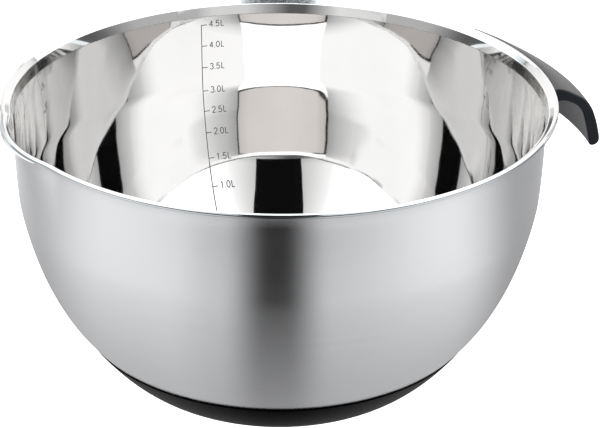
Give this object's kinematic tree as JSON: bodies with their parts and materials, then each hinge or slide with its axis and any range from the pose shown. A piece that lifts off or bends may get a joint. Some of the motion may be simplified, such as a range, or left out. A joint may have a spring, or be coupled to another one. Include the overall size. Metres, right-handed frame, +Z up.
{
  "type": "prep bowl",
  "caption": "Deep round steel mixing bowl with a rolled pouring rim and lip, an inner litre scale, a bonded non-slip base and a fixed side handle.",
  "frame": {"origin": "centre of the flat underside of the base, on the table", "axes": "+Z up along the bowl's axis, +X towards the handle, -X towards the pouring lip"},
  "size_m": [0.2823, 0.254, 0.1394],
  "materials": {
    "shell_steel": "polished inside and on the rim, satin brushed outside",
    "boot_rubber": "matte moulded",
    "bond_film": "cured adhesive film",
    "handle_plastic": "fine soft-touch grain",
    "bracket_steel": "pressed sheet",
    "screw_steel": "turned"
  },
  "bodies": {
    "root": {"bowl_shell": "shell_steel", "base_boot": "boot_rubber", "base_adhesive": "bond_film", "handle_grip": "handle_plastic", "handle_bracket": "bracket_steel", "handle_screw_left": "screw_steel", "handle_screw_right": "screw_steel"}
  },
  "joints": []
}
